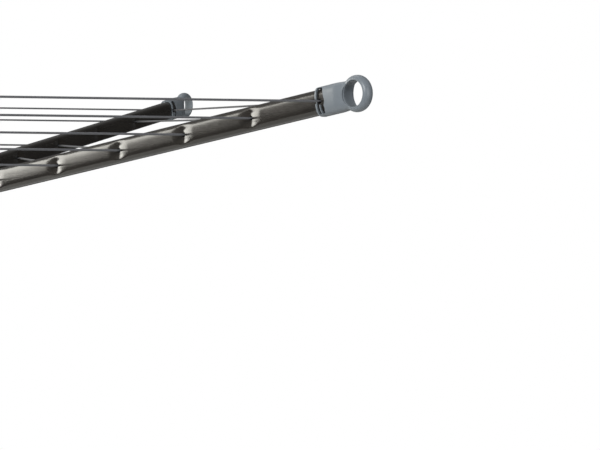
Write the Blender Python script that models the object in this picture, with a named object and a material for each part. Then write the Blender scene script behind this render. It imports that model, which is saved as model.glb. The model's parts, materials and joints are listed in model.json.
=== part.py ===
"""Ceiling mounted pulley rack: four ring-ended arms strung with one drying line, on a telescopic mast.

Metres, +Z up. The origin is the middle of the ceiling face, on the mast's axis, and everything hangs
below it. The arms make an X that is longer along Y than along X: arm 1 points to +X -Y, and arms 2 to
4 follow anticlockwise seen from above.
"""

import math

import bmesh
import bpy
from mathutils import Matrix, Vector

# ---------------------------------------------------------------- driving dimensions
GAP = 0.0003  # left between pieces that touch

ARM_BEARINGS = [math.radians(degrees) for degrees in (-54, 54, 126, 234)]
ARM_COUNT = len(ARM_BEARINGS)
ARM_RISE = math.radians(9.7)  # the arms slope up, outwards
ARM_HEIGHT = 0.0244
ARM_WIDTH = 0.0156
ARM_WALL = 0.0012
ARM_SQUARENESS = 3.0  # exponent of the oval section: 2 is an ellipse
ARM_START = 0.050  # distances along an arm are from the mast's axis
LINE_HOLES = 9
LINE_PITCH = 0.100
OUTER_HOLE = 1.000
ARM_END = OUTER_HOLE + 0.024
LINE_RADIUS = 0.00115
LINE_HOLE_RADIUS = 0.0024
LINE_BEND = 0.004

RING_CENTRE = OUTER_HOLE + 0.044
RING_DIAMETER = 0.0356
RING_DEPTH = 0.0124
RING_WALL = 0.0050
SLEEVE_START = OUTER_HOLE - 0.0046
SLEEVE_SIDE_WALL = 0.0020
SLEEVE_TOP_WALL = 0.0023
WINDOW_START = OUTER_HOLE - 0.0028

TUBE_WALL = 0.0015
OUTER_TUBE = 0.0200  # outside radii of the three mast tubes
MID_TUBE = 0.0165
INNER_TUBE = 0.0130
TUBE_LENGTH = 0.420
TUBE_OVERLAP = 0.080  # what stays inside when the mast is fully drawn out
LIFT = 0.540

PLATE_SIZE = (0.190, 0.124, 0.004)
CHEEK_INSIDE = 0.0240
CHEEK_THICKNESS = 0.0030
AXLE_DROP = 0.052
SHAFT_RADIUS = 0.0040
GROOVE_RADIUS = 0.0280
WHEEL_RADIUS = 0.0335
CORD_RADIUS = 0.0015
PULLEY_Y = GROOVE_RADIUS + CORD_RADIUS  # so that the cord drops down the mast's axis
SOCKET_TOP = -0.096
SOCKET_HEIGHT = 0.040
SOCKET_DEPTH = 0.060
MAST_TOP = -0.104

CLAMP_HEIGHT = 0.040
CLAMP_WALL = 0.0062

# ---------------------------------------------------------------- derived places
MID_TRAVEL = LIFT / 2
OUTER_BOTTOM = MAST_TOP - TUBE_LENGTH
MID_TOP = OUTER_BOTTOM + TUBE_OVERLAP
MID_BOTTOM = MID_TOP - TUBE_LENGTH
INNER_TOP = MID_BOTTOM + TUBE_OVERLAP
HUB_Z = -1.200  # where the arms' axes meet the mast's axis
INNER_BOTTOM = HUB_Z - 0.035
AXLE = Vector((0.0, PULLEY_Y, -AXLE_DROP))
ARM_OVAL = (ARM_WIDTH / 2, ARM_HEIGHT / 2)

# ---------------------------------------------------------------- materials
MATERIALS = {}


def material(name, colour, roughness, metallic=0.0):
    made = bpy.data.materials.new(name)
    made.use_nodes = True
    shader = made.node_tree.nodes["Principled BSDF"]
    shader.inputs["Base Color"].default_value = (*colour, 1.0)
    shader.inputs["Roughness"].default_value = roughness
    shader.inputs["Metallic"].default_value = metallic
    MATERIALS[name] = made


def make_materials():
    material("black_tube", (0.045, 0.041, 0.038), 0.32, 0.8)
    material("grey_plastic", (0.26, 0.30, 0.33), 0.45)
    material("dark_plastic", (0.03, 0.032, 0.035), 0.5)
    material("line_coating", (0.10, 0.10, 0.11), 0.45)
    material("painted_steel", (0.10, 0.105, 0.11), 0.45, 0.4)
    material("bright_steel", (0.62, 0.63, 0.64), 0.25, 1.0)
    material("cord", (0.55, 0.55, 0.53), 0.8)


# ---------------------------------------------------------------- modelling helpers
def add_object(name, mesh, material_name, parent=None):
    """Links a mesh as a named object, smooth apart from its sharp edges."""
    mesh.shade_smooth()
    mesh.set_sharp_from_angle(angle=math.radians(35))
    if material_name and not mesh.materials:
        mesh.materials.append(MATERIALS[material_name])
    made = bpy.data.objects.new(name, mesh)
    bpy.context.scene.collection.objects.link(made)
    made.parent = parent
    return made


def add_empty(name, location=(0, 0, 0), parent=None):
    made = bpy.data.objects.new(name, None)
    bpy.context.scene.collection.objects.link(made)
    made.location = location
    made.parent = parent
    return made


def mesh_of(build, name):
    """The mesh that build(bm) leaves in a bmesh, with its faces pointing out."""
    bm = bmesh.new()
    build(bm)
    bmesh.ops.recalc_face_normals(bm, faces=bm.faces[:])
    mesh = bpy.data.meshes.new(name)
    bm.to_mesh(mesh)
    bm.free()
    return mesh


TURN_TO = {
    "Z": Matrix.Identity(4),
    "X": Matrix.Rotation(math.radians(90), 4, "Y"),
    "Y": Matrix.Rotation(math.radians(-90), 4, "X"),
}


def turned(name, profile, steps=32, axis="Z", closed=True):
    """A turned mesh. profile is (radius, distance along axis): a closed outline, or an open one that
    starts and ends on the axis."""

    def build(bm):
        points = [bm.verts.new((radius, 0, along)) for radius, along in profile]
        pairs = list(zip(points, points[1:]))
        if closed:
            pairs.append((points[-1], points[0]))
        edges = [bm.edges.new(pair) for pair in pairs]
        bmesh.ops.spin(bm, geom=points + edges, cent=(0, 0, 0), axis=(0, 0, 1), angle=math.tau, steps=steps)
        bmesh.ops.remove_doubles(bm, verts=bm.verts[:], dist=1e-6)
        bmesh.ops.transform(bm, matrix=TURN_TO[axis], verts=bm.verts[:])

    return mesh_of(build, name)


def ring_profile(inner, outer, low, high):
    """The section of a plain tube or washer."""
    return [(inner, low), (outer, low), (outer, high), (inner, high)]


def rod_profile(radius, low, high):
    """The section of a plain solid rod."""
    return [(0, low), (radius, low), (radius, high), (0, high)]


def extruded(name, outline, depth, place):
    """A prism: outline is 2-D points, place turns (u, v, w) into the object's own coordinates."""

    def build(bm):
        face = bm.faces.new([bm.verts.new((u, v, 0)) for u, v in outline])
        grown = bmesh.ops.extrude_face_region(bm, geom=[face])
        new_points = [item for item in grown["geom"] if isinstance(item, bmesh.types.BMVert)]
        bmesh.ops.translate(bm, vec=(0, 0, depth), verts=new_points)
        bmesh.ops.transform(bm, matrix=place, verts=bm.verts[:])

    return mesh_of(build, name)


def rounded_rectangle(width, height, radius, centre=(0, 0), corner_steps=5):
    """Points round a rectangle with round corners, anticlockwise."""
    points = []
    for quarter, (side_u, side_v) in enumerate(((1, 1), (-1, 1), (-1, -1), (1, -1))):
        for step in range(corner_steps + 1):
            angle = math.radians(90) * (quarter + step / corner_steps)
            u = centre[0] + side_u * (width / 2 - radius) + radius * math.cos(angle)
            v = centre[1] + side_v * (height / 2 - radius) + radius * math.sin(angle)
            points.append((u, v))
    return points


def oval(half_y, half_z, count=24):
    """Points round a squared oval, in the plane across an arm."""
    points = []
    for step in range(count):
        angle = math.tau * step / count
        cosine, sine = math.cos(angle), math.sin(angle)
        y = half_y * math.copysign(abs(cosine) ** (2 / ARM_SQUARENESS), cosine)
        z = half_z * math.copysign(abs(sine) ** (2 / ARM_SQUARENESS), sine)
        points.append((y, z))
    return points


def oval_prism(name, half_y, half_z, start, end, count=24):
    """A solid bar of oval section along X."""
    along_x = Matrix(((0, 0, 1, start), (1, 0, 0, 0), (0, 1, 0, 0), (0, 0, 0, 1)))
    return extruded(name, oval(half_y, half_z, count), end - start, along_x)


def helper(name, mesh, parent=None):
    """A cutter or other helper, which isn't part of the object."""
    made = add_object(name, mesh, None, parent)
    made.hide_render = True
    made.display_type = "WIRE"
    return made


def combine(target, other, operation):
    modifier = target.modifiers.new(operation.title(), "BOOLEAN")
    modifier.operation = operation
    modifier.object = other
    modifier.solver = "EXACT"


def cut(target, *cutters):
    for cutter in cutters:
        combine(target, cutter, "DIFFERENCE")


def join(target, *others):
    for other in others:
        combine(target, other, "UNION")


def finished_mesh(target, material_name):
    """The target's mesh with its modifiers applied, ready to share. The target and its helpers go."""
    bpy.context.view_layer.update()
    graph = bpy.context.evaluated_depsgraph_get()
    mesh = bpy.data.meshes.new_from_object(target.evaluated_get(graph))
    mesh.materials.clear()
    mesh.materials.append(MATERIALS[material_name])
    helpers = [modifier.object for modifier in target.modifiers]
    for spent in [target, *helpers]:
        bpy.data.objects.remove(spent)
    return mesh


def joined(name, *meshes):
    """One mesh that holds several separate shapes, for a cutter."""
    bm = bmesh.new()
    for mesh in meshes:
        bm.from_mesh(mesh)
    made = bpy.data.meshes.new(name)
    bm.to_mesh(made)
    bm.free()
    return made


def block(name, size, place):
    """A plain block round its own middle, put in place."""

    def build(bm):
        bmesh.ops.create_cube(bm, size=1)
        bmesh.ops.transform(bm, matrix=place @ Matrix.Diagonal((*size, 1)), verts=bm.verts[:])

    return mesh_of(build, name)


def moved(mesh, *offset):
    mesh.transform(Matrix.Translation(offset))
    return mesh


# ---------------------------------------------------------------- ceiling bracket and pulley
SCREW_HOLES = [(x, y) for x in (-0.078, 0.078) for y in (-0.027, 0.063)]
PLATE_Y = 0.018
BOLT_Y = 0.0255
BOLT_Z = SOCKET_TOP - SOCKET_HEIGHT / 2
BOLT_RADIUS = 0.0025
CHEEK_OUTSIDE = CHEEK_INSIDE + CHEEK_THICKNESS


def cheek_outline():
    """Side view of a cheek, (y, z): wide round the pulley, narrow at the mast socket."""
    low = SOCKET_TOP - SOCKET_HEIGHT
    return [
        (-0.034, -0.002), (-0.034, -0.060), (-0.031, -0.092), (-0.031, low + 0.006), (-0.025, low),
        (0.025, low), (0.031, low + 0.006), (0.034, -0.100), (0.066, -0.066), (0.070, -0.054), (0.070, -0.002),
    ]


def make_ceiling_bracket():
    """The screw plate with its two cheeks, bent from one sheet."""
    width, depth, thickness = PLATE_SIZE
    plate = extruded(
        "ceiling_bracket", rounded_rectangle(width, depth, 0.016, (0, PLATE_Y)), thickness,
        Matrix.Translation((0, 0, -thickness)),
    )
    bracket = add_object("ceiling_bracket", plate, "painted_steel")
    for side in (-1, 1):
        start = CHEEK_INSIDE if side > 0 else -CHEEK_OUTSIDE
        along_x = Matrix(((0, 0, 1, start), (1, 0, 0, 0), (0, 1, 0, 0), (0, 0, 0, 1)))
        join(bracket, helper(f"cheek_{side}", extruded("cheek", cheek_outline(), CHEEK_THICKNESS, along_x)))
    countersink = [(0, 0.001), (0.0025, 0.001), (0.0025, -0.0015), (0.0055, -0.0045), (0.0055, -0.006), (0, -0.006)]
    screw_cutters = [moved(turned("hole", countersink, 16, closed=False), x, y, 0) for x, y in SCREW_HOLES]
    cut(bracket, helper("screw_holes", joined("screw_holes", *screw_cutters)))
    across = rod_profile(BOLT_RADIUS + GAP, -0.035, 0.035)
    bolt_holes = [moved(turned("hole", across, 12, "X", False), 0, side * BOLT_Y, BOLT_Z) for side in (-1, 1)]
    axle_hole = moved(turned("hole", rod_profile(SHAFT_RADIUS + GAP, -0.035, 0.035), 16, "X", False), *AXLE)
    cut(bracket, helper("cross_holes", joined("cross_holes", axle_hole, *bolt_holes)))


def make_pulley():
    """The grooved wheel, its shaft and the turns of cord on it. They spin together about the shaft."""
    pivot = add_empty("pulley_pivot", AXLE)
    half = 0.0080
    wheel_profile = [
        (SHAFT_RADIUS + GAP, -0.0105), (0.0090, -0.0105), (0.0105, -half), (WHEEL_RADIUS, -half),
        (WHEEL_RADIUS, -half + 0.002), (GROOVE_RADIUS - GAP, -0.0022), (GROOVE_RADIUS - GAP, 0.0022),
        (WHEEL_RADIUS, half - 0.002), (WHEEL_RADIUS, half), (0.0105, half), (0.0090, 0.0105),
        (SHAFT_RADIUS + GAP, 0.0105),
    ]
    wheel = add_object("pulley_wheel", turned("pulley_wheel", wheel_profile, 36, "X"), "grey_plastic", pivot)
    holes = []
    for step in range(5):
        angle = math.tau * step / 5
        hole = turned("hole", rod_profile(0.0048, -0.02, 0.02), 12, "X", False)
        holes.append(moved(hole, 0, 0.0185 * math.cos(angle), 0.0185 * math.sin(angle)))
    cut(wheel, helper("wheel_holes", joined("wheel_holes", *holes), pivot))
    shaft_profile = [
        (0, -0.0365), (0.0055, -0.0365), (0.0070, -0.0350), (0.0070, -CHEEK_OUTSIDE - 0.0012),
        (SHAFT_RADIUS, -CHEEK_OUTSIDE - 0.0012), (SHAFT_RADIUS, 0.0440), (0.0032, 0.0450), (0, 0.0450),
    ]
    add_object("pulley_shaft", turned("pulley_shaft", shaft_profile, 20, "X", False), "bright_steel", pivot)
    wound = [
        (PULLEY_Y + CORD_RADIUS * math.cos(math.tau * step / 8), CORD_RADIUS * math.sin(math.tau * step / 8))
        for step in range(8)
    ]
    add_object("cord_on_pulley", turned("cord_on_pulley", wound, 32, "X"), "cord", pivot)


def make_spacers():
    for name, side in (("spacer_left", -1), ("spacer_right", 1)):
        ends = sorted((side * (0.0105 + GAP), side * (CHEEK_INSIDE - GAP)))
        spacer = turned(name, ring_profile(SHAFT_RADIUS + GAP, 0.0065, *ends), 20, "X")
        add_object(name, spacer, "dark_plastic").location = AXLE


SPRING_CASE_RADIUS = 0.036
SPRING_CASE_DEPTH = 0.020


def make_return_spring():
    """A flat spiral spring in a round case on the right cheek: it winds the pulley back."""
    low = CHEEK_OUTSIDE + GAP
    high = low + SPRING_CASE_DEPTH
    inner = SPRING_CASE_RADIUS - 0.002
    cup = [
        (SHAFT_RADIUS + GAP, low), (SPRING_CASE_RADIUS, low), (SPRING_CASE_RADIUS, high),
        (inner, high), (inner, low + 0.002), (SHAFT_RADIUS + GAP, low + 0.002),
    ]
    add_object("spring_case", turned("spring_case", cup, 40, "X"), "dark_plastic").location = AXLE
    lid = [
        (0, high + GAP), (SPRING_CASE_RADIUS, high + GAP), (SPRING_CASE_RADIUS, high + 0.002),
        (SPRING_CASE_RADIUS - 0.005, high + 0.005), (0, high + 0.005),
    ]
    add_object("spring_cover", turned("spring_cover", lid, 40, "X", False), "grey_plastic").location = AXLE
    add_object("spiral_spring", spiral_strip(low + 0.0045, high - 0.004), "bright_steel").location = AXLE


def spiral_strip(low, high, turns=5, steps=14):
    """A strip wound from the shaft out to the case, as wide as low to high along X."""
    first, last, half = 0.0075, SPRING_CASE_RADIUS - 0.0040, 0.0004

    def build(bm):
        sections = []
        for step in range(turns * steps + 1):
            share = step / (turns * steps)
            angle = math.tau * turns * share
            middle = first + (last - first) * share
            section = []
            for radius, x in ((middle - half, low), (middle + half, low), (middle + half, high), (middle - half, high)):
                section.append(bm.verts.new((x, radius * math.cos(angle), radius * math.sin(angle))))
            sections.append(section)
        for here, there in zip(sections, sections[1:]):
            for side in range(4):
                after = (side + 1) % 4
                bm.faces.new((here[side], here[after], there[after], there[side]))
        bm.faces.new(sections[0])
        bm.faces.new(sections[-1])

    return mesh_of(build, "spiral_spring")


# ---------------------------------------------------------------- mast
def make_socket():
    """The block between the cheeks that holds the top of the mast, with its two cross bolts."""
    width = 2 * (CHEEK_INSIDE - GAP)
    block = extruded(
        "mast_socket", rounded_rectangle(width, SOCKET_DEPTH, 0.003), SOCKET_HEIGHT,
        Matrix.Translation((0, 0, SOCKET_TOP - SOCKET_HEIGHT)),
    )
    socket = add_object("mast_socket", block, "grey_plastic")
    bore = [
        (0, SOCKET_TOP - SOCKET_HEIGHT - 0.01), (OUTER_TUBE + GAP, SOCKET_TOP - SOCKET_HEIGHT - 0.01),
        (OUTER_TUBE + GAP, MAST_TOP + GAP), (0.012, MAST_TOP + GAP), (0.012, SOCKET_TOP + 0.01),
        (0, SOCKET_TOP + 0.01),
    ]
    cut(socket, helper("socket_bore", turned("socket_bore", bore, 32, closed=False)))
    across = rod_profile(BOLT_RADIUS + GAP, -0.035, 0.035)
    holes = [moved(turned("hole", across, 12, "X", False), 0, side * BOLT_Y, BOLT_Z) for side in (-1, 1)]
    cut(socket, helper("socket_bolt_holes", joined("socket_bolt_holes", *holes)))
    for number, side in ((1, -1), (2, 1)):
        place = (0, side * BOLT_Y, BOLT_Z)
        make_bolt(f"socket_bolt_{number}", place)
        make_nut(f"socket_nut_{number}", place)


def make_bolt(name, place):
    """A bolt along X, with its round head against the left cheek."""
    head = CHEEK_OUTSIDE + GAP
    profile = [
        (0, -head - 0.0035), (0.0032, -head - 0.0035), (0.0045, -head - 0.0022), (0.0045, -head),
        (BOLT_RADIUS, -head), (BOLT_RADIUS, head + 0.0055), (0, head + 0.0055),
    ]
    add_object(name, turned(name, profile, 16, "X", False), "bright_steel").location = place


def make_nut(name, place):
    """A hexagon nut on the right cheek."""
    low = CHEEK_OUTSIDE + GAP
    bore = (BOLT_RADIUS + GAP) / math.cos(math.radians(30))
    nut = turned(name, ring_profile(bore, 0.0052, low, low + 0.004), 6, "X")
    add_object(name, nut, "bright_steel").location = place


def make_tube(name, radius, low, high, material_name="black_tube", steps=36):
    add_object(name, turned(name, ring_profile(radius - TUBE_WALL, radius, low, high), steps), material_name)


def make_mast_tubes():
    make_tube("mast_outer_tube", OUTER_TUBE, OUTER_BOTTOM, MAST_TOP)
    make_tube("mast_middle_tube", MID_TUBE, MID_BOTTOM, MID_TOP)
    make_tube("mast_inner_tube", INNER_TUBE, INNER_BOTTOM, INNER_TOP)
    guides = (("middle_guide_bush", MID_TUBE, OUTER_TUBE, MID_TOP), ("inner_guide_bush", INNER_TUBE, MID_TUBE, INNER_TOP))
    for name, inside, outside, top in guides:
        profile = ring_profile(inside + GAP, outside - TUBE_WALL - GAP, top - 0.022, top - 0.002)
        add_object(name, turned(name, profile, 28), "grey_plastic")


LEVER_WIDTH = 0.0140
LEVER_PIN_RADIUS = 0.0020
EAR_THICKNESS = 0.0035
LEVER_HEAD = 0.0050


def make_clamp(number, upper_radius, lower_radius, tube_bottom):
    """A clamp collar on a tube's lower end, with a flip lever that locks the next tube."""
    low, high = tube_bottom - 0.010, tube_bottom + CLAMP_HEIGHT - 0.010
    outside = upper_radius + CLAMP_WALL
    profile = [
        (lower_radius + GAP, low), (outside - 0.002, low), (outside, low + 0.002), (outside, high - 0.004),
        (outside - 0.003, high), (upper_radius + GAP, high), (upper_radius + GAP, tube_bottom - GAP),
        (lower_radius + GAP, tube_bottom - GAP),
    ]
    collar = add_object(f"clamp_collar_{number}", turned("clamp_collar", profile, 32), "grey_plastic")
    pin_y, pin_z = outside + 0.0062, high - 0.012
    ear = [(outside - 0.003, pin_z - 0.009), (pin_y + 0.002, pin_z - 0.005), (pin_y + 0.0050, pin_z),
           (pin_y + 0.002, pin_z + 0.005), (outside - 0.003, pin_z + 0.009)]
    for side in (-1, 1):
        inner = LEVER_WIDTH / 2 + GAP
        start = inner if side > 0 else -inner - EAR_THICKNESS
        along_x = Matrix(((0, 0, 1, start), (1, 0, 0, 0), (0, 1, 0, 0), (0, 0, 0, 1)))
        join(collar, helper(f"ear_{number}_{side}", extruded("ear", ear, EAR_THICKNESS, along_x)))
    reach = LEVER_WIDTH / 2 + EAR_THICKNESS + 0.0013
    pin_hole = moved(turned("hole", rod_profile(LEVER_PIN_RADIUS + GAP, -0.02, 0.02), 12, "X", False), 0, pin_y, pin_z)
    cut(collar, helper(f"pin_hole_{number}", pin_hole))
    pin = turned("lever_pin", rod_profile(LEVER_PIN_RADIUS, -reach, reach), 12, "X", False)
    add_object(f"lever_pin_{number}", pin, "bright_steel").location = (0, pin_y, pin_z)
    make_lever(number, pin_y, pin_z)


def make_lever(number, pin_y, pin_z):
    """The flip lever: a round head on the pin and a thumb plate that hangs down the collar."""
    pivot = add_empty(f"lever_pivot_{number}", (0, pin_y, pin_z))
    points = []
    for step in range(9):
        angle = math.radians(-20 + 200 * step / 8)
        points.append((LEVER_HEAD * math.cos(angle), LEVER_HEAD * math.sin(angle)))
    points += [(-0.0042, -0.008), (-0.0035, -0.026), (0.0010, -0.037), (0.0042, -0.038), (0.0022, -0.028), (0.0030, -0.012)]
    place = Matrix(((0, 0, 1, -LEVER_WIDTH / 2), (1, 0, 0, 0), (0, 1, 0, 0), (0, 0, 0, 1)))
    lever = add_object(f"flip_lever_{number}", extruded("lever", points, LEVER_WIDTH, place), "dark_plastic", pivot)
    hole = turned("hole", rod_profile(LEVER_PIN_RADIUS + GAP, -0.02, 0.02), 12, "X", False)
    cut(lever, helper(f"lever_hole_{number}", hole, pivot))


def make_hoist_cord():
    """The cord from the pulley to the foot of the mast, down the inside of the tubes."""
    top = -AXLE_DROP - 0.015
    ferrule_top = HUB_Z + 0.004
    cord = turned("hoist_cord", rod_profile(CORD_RADIUS, ferrule_top + GAP, top), 10, closed=False)
    add_object("hoist_cord", cord, "cord")
    ferrule = [(0, HUB_Z - 0.0147), (0.0048, HUB_Z - 0.0147), (0.0048, HUB_Z), (0.0025, ferrule_top), (0, ferrule_top)]
    add_object("cord_ferrule", turned("cord_ferrule", ferrule, 16, closed=False), "bright_steel")


# ---------------------------------------------------------------- hub
HUB_RADIUS = 0.046
HUB_LOW = -0.030
HUB_HIGH = 0.030
BUSH_RADIUS = 0.0165
SOCKET_END = 0.106
ARM_PIN = 0.088
ARM_PIN_RADIUS = 0.0025


def arm_frame(number):
    """The matrix that carries an arm's own frame, X along the arm, to its place under the hub's empty."""
    turn = Matrix.Rotation(ARM_BEARINGS[number - 1], 4, "Z")
    return turn @ Matrix.Rotation(-ARM_RISE, 4, "Y")


def make_hub(hub):
    """The hub body with its four arm sockets, its cap, and the bush it turns on."""
    profile = [
        (BUSH_RADIUS, HUB_LOW), (HUB_RADIUS - 0.012, HUB_LOW), (HUB_RADIUS, HUB_LOW + 0.010),
        (HUB_RADIUS, HUB_HIGH - 0.006), (HUB_RADIUS - 0.004, HUB_HIGH), (BUSH_RADIUS, HUB_HIGH),
    ]
    body = add_object("hub_body", turned("hub_body", profile, 40), "grey_plastic", hub)
    wall = 0.0042
    for number in range(1, ARM_COUNT + 1):
        sleeve = oval_prism("sleeve", ARM_OVAL[0] + wall, ARM_OVAL[1] + wall, 0.034, SOCKET_END, 24)
        sleeve.transform(arm_frame(number))
        join(body, helper(f"arm_sleeve_{number}", sleeve, hub))
    pockets = []
    for number in range(1, ARM_COUNT + 1):
        pocket = oval_prism("pocket", ARM_OVAL[0] + GAP, ARM_OVAL[1] + GAP, ARM_START - GAP, SOCKET_END + 0.01)
        pocket.transform(arm_frame(number))
        pin = turned("pin", rod_profile(ARM_PIN_RADIUS + GAP, -0.02, 0.02), 12, "Y", False)
        pin.transform(arm_frame(number) @ Matrix.Translation((ARM_PIN, 0, 0)))
        pockets += [pocket, pin]
    for number, shape in enumerate(pockets):
        cut(body, helper(f"hub_pocket_{number}", shape, hub))
    cap = [
        (INNER_TUBE + 2 * GAP, HUB_HIGH + GAP), (HUB_RADIUS - 0.005, HUB_HIGH + GAP),
        (HUB_RADIUS - 0.010, HUB_HIGH + 0.005), (INNER_TUBE + 0.006, HUB_HIGH + 0.009),
        (INNER_TUBE + 2 * GAP, HUB_HIGH + 0.009),
    ]
    add_object("hub_cap", turned("hub_cap", cap, 40), "dark_plastic", hub)
    low = HUB_LOW - GAP
    bush = [
        (INNER_TUBE + GAP, HUB_HIGH - 0.001), (INNER_TUBE + GAP, low - 0.003), (0.0200, low - 0.003),
        (0.0200, low), (BUSH_RADIUS - GAP, low), (BUSH_RADIUS - GAP, HUB_HIGH - 0.001),
    ]
    add_object("hub_bush", turned("hub_bush", bush, 32), "dark_plastic", hub)


def make_mast_foot():
    """The foot that closes the inner tube and carries the hub, and the knob to pull the rack down by."""
    foot = add_empty("mast_foot_place", (0, 0, HUB_Z))
    seat = HUB_LOW - 0.0036
    tube_end = INNER_BOTTOM - HUB_Z - GAP
    plug = INNER_TUBE - TUBE_WALL - GAP
    profile = [
        (0, -0.015), (plug, -0.015), (plug, tube_end), (INNER_TUBE + GAP, tube_end), (INNER_TUBE + GAP, seat),
        (0.0225, seat), (0.0225, seat - 0.010), (0.0190, seat - 0.015), (0.0043, seat - 0.015),
        (0.0043, seat - 0.004), (0, seat - 0.004),
    ]
    add_object("mast_foot", turned("mast_foot", profile, 32, closed=False), "grey_plastic", foot)
    top = seat - 0.015 - GAP
    knob = [
        (0, seat - 0.006), (0.0040, seat - 0.006), (0.0040, top), (0.0085, top), (0.0075, top - 0.010),
        (0.0130, top - 0.020), (0.0155, top - 0.031), (0.0125, top - 0.041), (0.0060, top - 0.045), (0, top - 0.045),
    ]
    add_object("pull_knob", turned("pull_knob", knob, 28, closed=False), "dark_plastic", foot)


# ---------------------------------------------------------------- arms
def hole_distances():
    return [OUTER_HOLE - LINE_PITCH * step for step in range(LINE_HOLES - 1, -1, -1)]


def arm_mesh():
    """An oval tube with a cross hole for each turn of the line and one for the hub's pin."""
    arm = add_object("arm_blank", oval_prism("arm", *ARM_OVAL, ARM_START, ARM_END), "black_tube")
    inside = oval_prism("arm_inside", ARM_OVAL[0] - ARM_WALL, ARM_OVAL[1] - ARM_WALL, ARM_START - 0.01, ARM_END + 0.01)
    cut(arm, helper("arm_inside", inside))
    holes = []
    for distance in hole_distances():
        hole = turned("hole", rod_profile(LINE_HOLE_RADIUS, -0.02, 0.02), 10, "Y", False)
        holes.append(moved(hole, distance, 0, 0))
    pin_hole = turned("hole", rod_profile(ARM_PIN_RADIUS + GAP, -0.02, 0.02), 12, "Y", False)
    holes.append(moved(pin_hole, ARM_PIN, 0, 0))
    cut(arm, helper("line_holes", joined("line_holes", *holes)))
    return finished_mesh(arm, "black_tube")


def window_outline():
    """The sleeve's side window, (x, z) from the outermost hole: straight at the flange, waved at the
    sleeve, with a rib that stands up from its lower edge."""
    left = WINDOW_START - OUTER_HOLE
    return [
        (left, 0.0102), (left, -0.0102), (0.0006, -0.0102), (0.0006, -0.0036), (0.0017, -0.0036),
        (0.0017, -0.0102), (0.0050, -0.0102), (0.0072, -0.0080), (0.0064, -0.0050), (0.0072, -0.0032),
        (0.0082, -0.0010), (0.0076, 0.0020), (0.0068, 0.0050), (0.0062, 0.0085), (0.0040, 0.0102),
    ]


def ring_end_mesh():
    """The grey end: an oval sleeve over the tube that runs into an upright ring. A window in each side
    leaves the outermost hole open, and each flange is notched where the line slants out over it."""
    left = SLEEVE_START - OUTER_HOLE
    right = RING_CENTRE - OUTER_HOLE
    outer_ring = RING_DIAMETER / 2
    half_y, half_z = ARM_OVAL[0] + SLEEVE_SIDE_WALL, ARM_OVAL[1] + SLEEVE_TOP_WALL
    sleeve = oval_prism("sleeve", half_y, half_z, left, right - outer_ring + 0.0060, 28)
    end = add_object("ring_blank", sleeve, "grey_plastic")
    half_depth = RING_DEPTH / 2
    rim = outer_ring - 0.0022
    disc = turned("disc", [(0, -half_depth), (rim, -half_depth), (outer_ring, -half_depth + 0.0030),
                           (outer_ring, half_depth - 0.0030), (rim, half_depth), (0, half_depth)], 36, "Y", False)
    join(end, helper("ring_disc", moved(disc, right, 0, 0)))
    hole_radius = outer_ring - RING_WALL
    reach = 0.020
    hole = turned("hole", rod_profile(hole_radius, -reach, reach), 32, "Y", False)
    cut(end, helper("ring_hole", moved(hole, right, 0, 0)))
    bore = oval_prism("bore", ARM_OVAL[0] + GAP, ARM_OVAL[1] + GAP, left - 0.01, ARM_END - OUTER_HOLE + GAP)
    cut(end, helper("sleeve_bore", bore))
    through = Matrix(((1, 0, 0, 0), (0, 0, -1, 0.02), (0, 1, 0, 0), (0, 0, 0, 1)))
    cut(end, helper("side_windows", extruded("window", window_outline(), 0.04, through)))
    notches = []
    for side in (-1, 1):
        place = Matrix.Translation((-0.0042, side * (ARM_OVAL[0] + 0.00075 + 0.0025), 0))
        notches.append(block("notch", (0.0050, 0.0050, 0.0042), place))
    cut(end, helper("line_notches", joined("line_notches", *notches)))
    return finished_mesh(end, "grey_plastic")


def make_arms(hub):
    arm, ring_end = arm_mesh(), ring_end_mesh()
    pin = turned("arm_pin", rod_profile(ARM_PIN_RADIUS, -0.0124, 0.0124), 12, "Y", False)
    for number in range(1, ARM_COUNT + 1):
        place = add_empty(f"arm_place_{number}", parent=hub)
        place.matrix_local = arm_frame(number)
        add_object(f"arm_{number}", arm, "black_tube", place)
        add_object(f"arm_pin_{number}", pin, "bright_steel", place).location = (ARM_PIN, 0, 0)
        tip = add_empty(f"tip_place_{number}", (OUTER_HOLE, 0, 0), place)
        add_object(f"ring_end_{number}", ring_end, "grey_plastic", tip)


# ---------------------------------------------------------------- drying line
LINE_SIDE = ARM_OVAL[0] + 0.0005  # where the line bends as it leaves an arm's wall


STRING_ORDER = (4, 1, 2, 3)  # the line starts in arm 4 and ends in arm 3


def line_corners():
    """The corners of the one line, from its inner end to its outer end. Each turn goes straight through
    both walls of all four arms, and steps out to the next holes on its way from arm 3 to arm 4."""
    corners = []
    for distance in hole_distances():
        for number in STRING_ORDER:
            for side in (-1, 1):
                corners.append(arm_frame(number) @ Vector((distance, side * LINE_SIDE, 0)))
    corners[0] = arm_frame(STRING_ORDER[0]) @ Vector((hole_distances()[0], 0, 0))
    corners[-1] = arm_frame(STRING_ORDER[-1]) @ Vector((OUTER_HOLE, 0, 0))
    return corners


def rounded_path(corners, radius, steps=2):
    """The corners joined by straight runs, each corner rounded with a short curve."""
    points = [corners[0]]
    for before, corner, after in zip(corners, corners[1:], corners[2:]):
        back, forward = before - corner, after - corner
        reach = min(radius, back.length * 0.45, forward.length * 0.45)
        start = corner + back.normalized() * reach
        end = corner + forward.normalized() * reach
        for step in range(steps + 1):
            share = step / steps
            points.append(start.lerp(corner, share).lerp(corner.lerp(end, share), share))
    points.append(corners[-1])
    return points


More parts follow.
